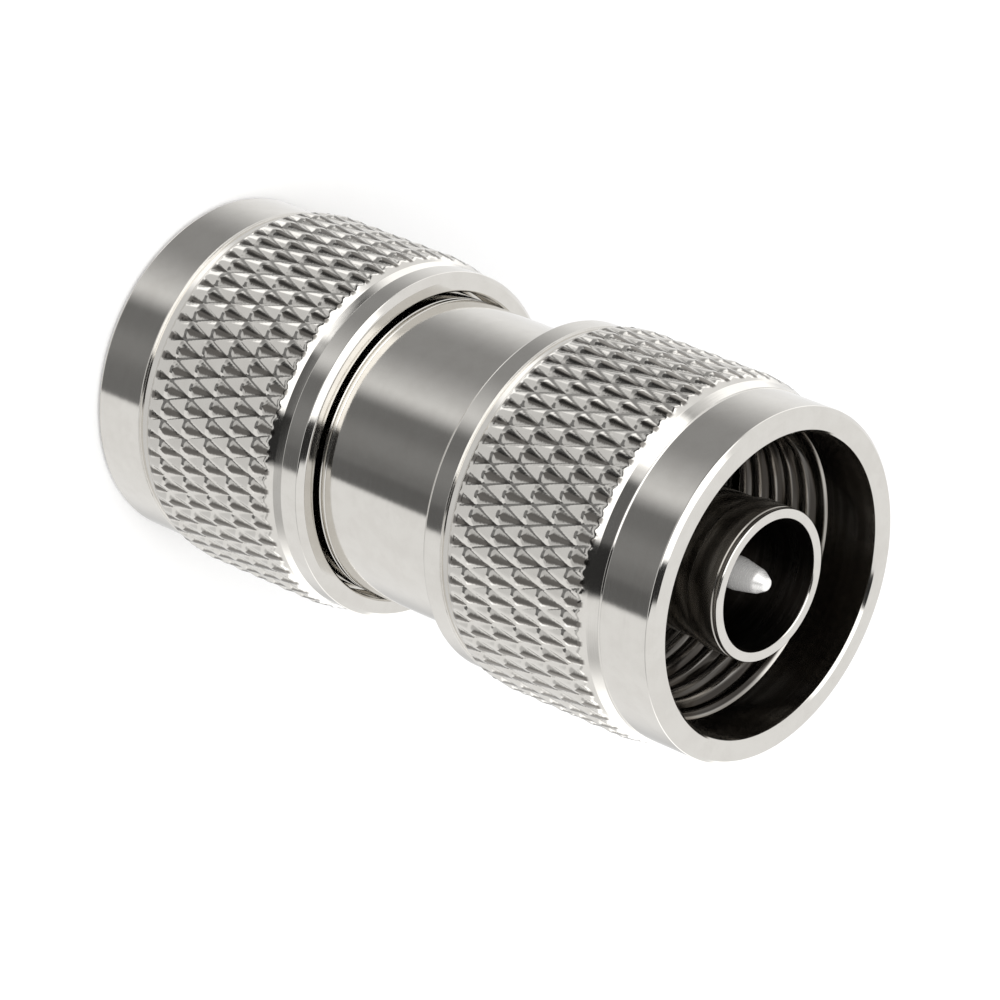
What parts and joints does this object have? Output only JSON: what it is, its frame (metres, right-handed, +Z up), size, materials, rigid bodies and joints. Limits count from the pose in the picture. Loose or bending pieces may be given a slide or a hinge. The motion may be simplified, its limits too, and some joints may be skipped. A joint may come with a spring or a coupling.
{
  "type": "coaxial plug-to-plug adapter",
  "caption": "Coaxial adapter, plug at both ends: turned plated body with a captive knurled coupling nut at either side, thin outer contact sleeves and centre pins.",
  "frame": {"origin": "centre of the lower coupling nut's front rim, on the surface that the adapter stands on", "axes": "+Z up along the connector axis, from the lower plug to the upper plug; X and Y across, alike"},
  "size_m": [0.0198, 0.0198, 0.0393],
  "materials": {
    "body_plating": "bright nickel plate over turned brass",
    "nut_plating": "bright nickel plate over knurled brass",
    "contact_plating": "bright nickel plate over turned brass",
    "pin_plating": "satin silver plate over brass",
    "spring_bronze": "bare phosphor bronze",
    "white_polymer": "turned fluoropolymer, waxy white",
    "seal_rubber": "moulded rubber, black"
  },
  "bodies": {
    "body": {"body_barrel": "body_plating", "outer_contact_upper": "contact_plating", "outer_contact_lower": "contact_plating", "gasket_upper": "seal_rubber", "gasket_lower": "seal_rubber", "insulator_upper": "white_polymer", "insulator_lower": "white_polymer", "centre_contact_upper": "pin_plating", "centre_contact_lower": "pin_plating"},
    "upper_ring": {"snap_ring_upper": "spring_bronze"},
    "upper_nut": {"coupling_nut_upper": "nut_plating"},
    "lower_ring": {"snap_ring_lower": "spring_bronze"},
    "lower_nut": {"coupling_nut_lower": "nut_plating"}
  },
  "joints": [
    {"name": "upper_nut_play", "type": "slide", "parent": "body", "child": "upper_ring", "axis": [0, 0, 1], "range_m": [0, 0.0008]},
    {"name": "upper_nut_spin", "type": "hinge", "parent": "upper_ring", "child": "upper_nut", "pos_m": [0, 0, 0.02705], "axis": [0, 0, 1], "continuous": true},
    {"name": "lower_nut_play", "type": "slide", "parent": "body", "child": "lower_ring", "axis": [0, 0, -1], "range_m": [0, 0.0008]},
    {"name": "lower_nut_spin", "type": "hinge", "parent": "lower_ring", "child": "lower_nut", "pos_m": [0, 0, 0.01225], "axis": [0, 0, -1], "continuous": true}
  ]
}
